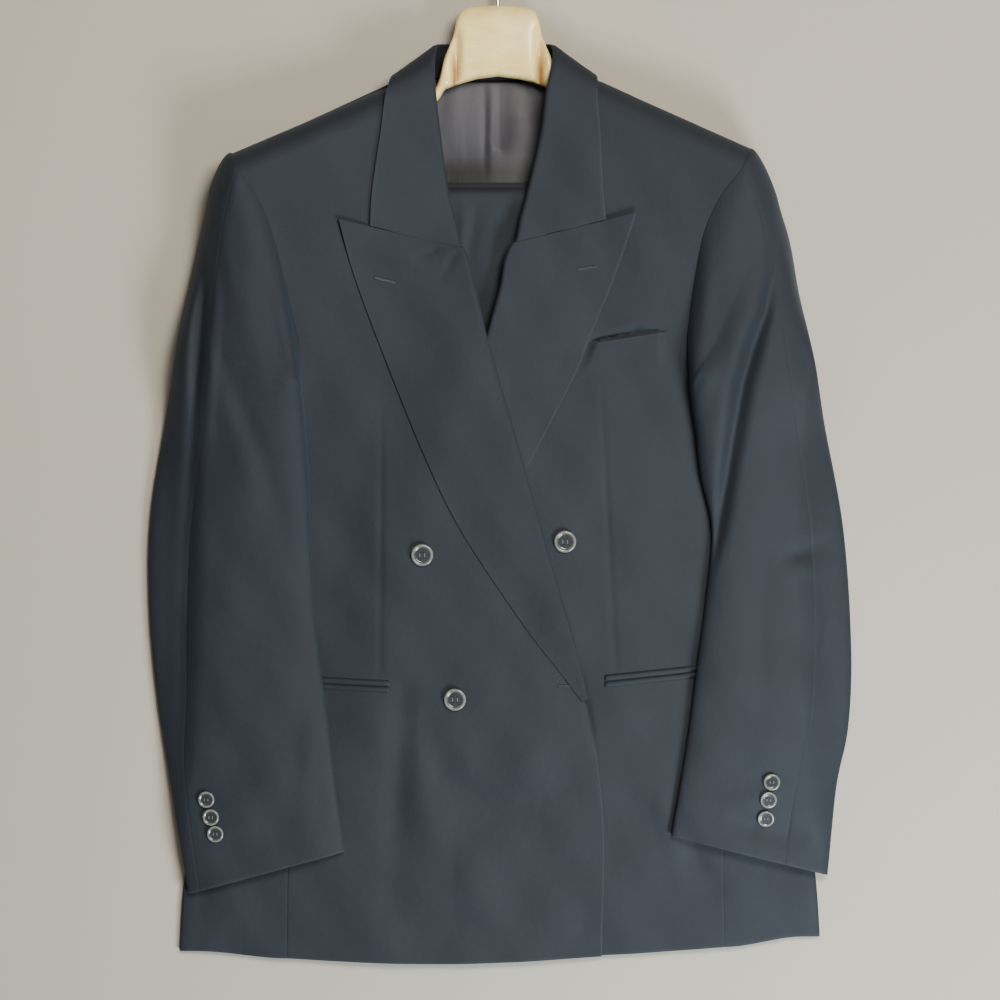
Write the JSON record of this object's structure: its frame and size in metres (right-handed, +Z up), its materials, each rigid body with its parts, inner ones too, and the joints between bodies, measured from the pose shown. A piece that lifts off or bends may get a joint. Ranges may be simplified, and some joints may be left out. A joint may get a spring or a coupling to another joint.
{
  "type": "two-piece suit on a wooden hanger",
  "caption": "Dark double-breasted suit laid flat: peak-lapel jacket buttoned over a contoured wooden hanger, with its trousers folded over the bar inside.",
  "frame": {"origin": "middle of the bounding box, on the surface the back of the jacket lies on", "axes": "+Z up out of the surface, +Y from the hem up to the hanger's hook, +X to the wearer's left"},
  "size_m": [0.6362, 0.9213, 0.0594],
  "materials": {
    "suiting": "matte worsted wool, midnight blue",
    "lining": "satin lining, grey",
    "buttons": "polished, dark horn look",
    "maple": "clear satin varnish",
    "hook_steel": "plated wire"
  },
  "bodies": {
    "root": {"front_right": "suiting", "front_left": "suiting", "back_right": "suiting", "back_left": "suiting", "side_body_right": "suiting", "side_body_left": "suiting", "lapel_right": "suiting", "lapel_left": "suiting", "collar_right": "suiting", "collar_left": "suiting", "top_sleeve_right": "suiting", "under_sleeve_right": "suiting", "top_sleeve_left": "suiting", "under_sleeve_left": "suiting", "pocket_right_lower_jet": "suiting", "pocket_right_upper_jet": "suiting", "pocket_left_lower_jet": "suiting", "pocket_left_upper_jet": "suiting", "chest_welt": "suiting", "trouser_legs": "suiting", "trouser_waistband": "suiting", "back_lining": "lining", "front_button_upper_right": "buttons", "front_button_lower_right": "buttons", "front_button_upper_left": "buttons", "cuff_button_right_1": "buttons", "cuff_button_right_2": "buttons", "cuff_button_right_3": "buttons", "cuff_button_left_1": "buttons", "cuff_button_left_2": "buttons", "cuff_button_left_3": "buttons", "hanger_body": "maple", "hanger_bar": "maple", "hanger_hook": "hook_steel"}
  },
  "joints": []
}
